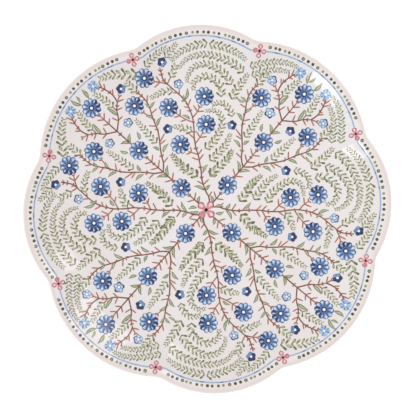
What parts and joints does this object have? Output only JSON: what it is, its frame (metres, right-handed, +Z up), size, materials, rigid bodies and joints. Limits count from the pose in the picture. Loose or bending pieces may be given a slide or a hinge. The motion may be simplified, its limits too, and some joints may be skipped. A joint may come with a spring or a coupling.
{
  "type": "dinner plate",
  "caption": "Round china dinner plate with a scalloped, flared edge, a flat well, a foot ring and painted blossoms, for serving a main course.",
  "frame": {"origin": "centre of the foot ring's resting plane, which is also the bottom centre of the bounding box", "axes": "+Z up out of the well, +X and +Y through the middles of two narrow lobes, and the wide lobes on the diagonals between them"},
  "size_m": [0.2684, 0.2684, 0.0249],
  "materials": {
    "bare_clay": "matte",
    "glaze": "gloss",
    "blue_enamel": "gloss",
    "pink_enamel": "gloss",
    "brown_enamel": "gloss",
    "green_enamel": "gloss",
    "black_enamel": "gloss"
  },
  "bodies": {
    "root": {"plate_body": "bare_clay", "glaze_coat": "glaze", "base_glaze": "glaze", "centre_blossom": "pink_enamel", "rim_blossom_1": "pink_enamel", "rim_blossom_2": "pink_enamel", "rim_blossom_3": "pink_enamel", "rim_blossom_4": "pink_enamel", "rim_blossom_5": "pink_enamel", "rim_blossom_6": "pink_enamel", "rim_blossom_7": "pink_enamel", "rim_blossom_8": "pink_enamel", "rim_line_1": "blue_enamel", "rim_line_2": "blue_enamel", "rim_line_3": "blue_enamel", "rim_line_4": "blue_enamel", "rim_line_5": "blue_enamel", "rim_line_6": "blue_enamel", "rim_line_7": "blue_enamel", "rim_line_8": "blue_enamel"}
  },
  "joints": []
}
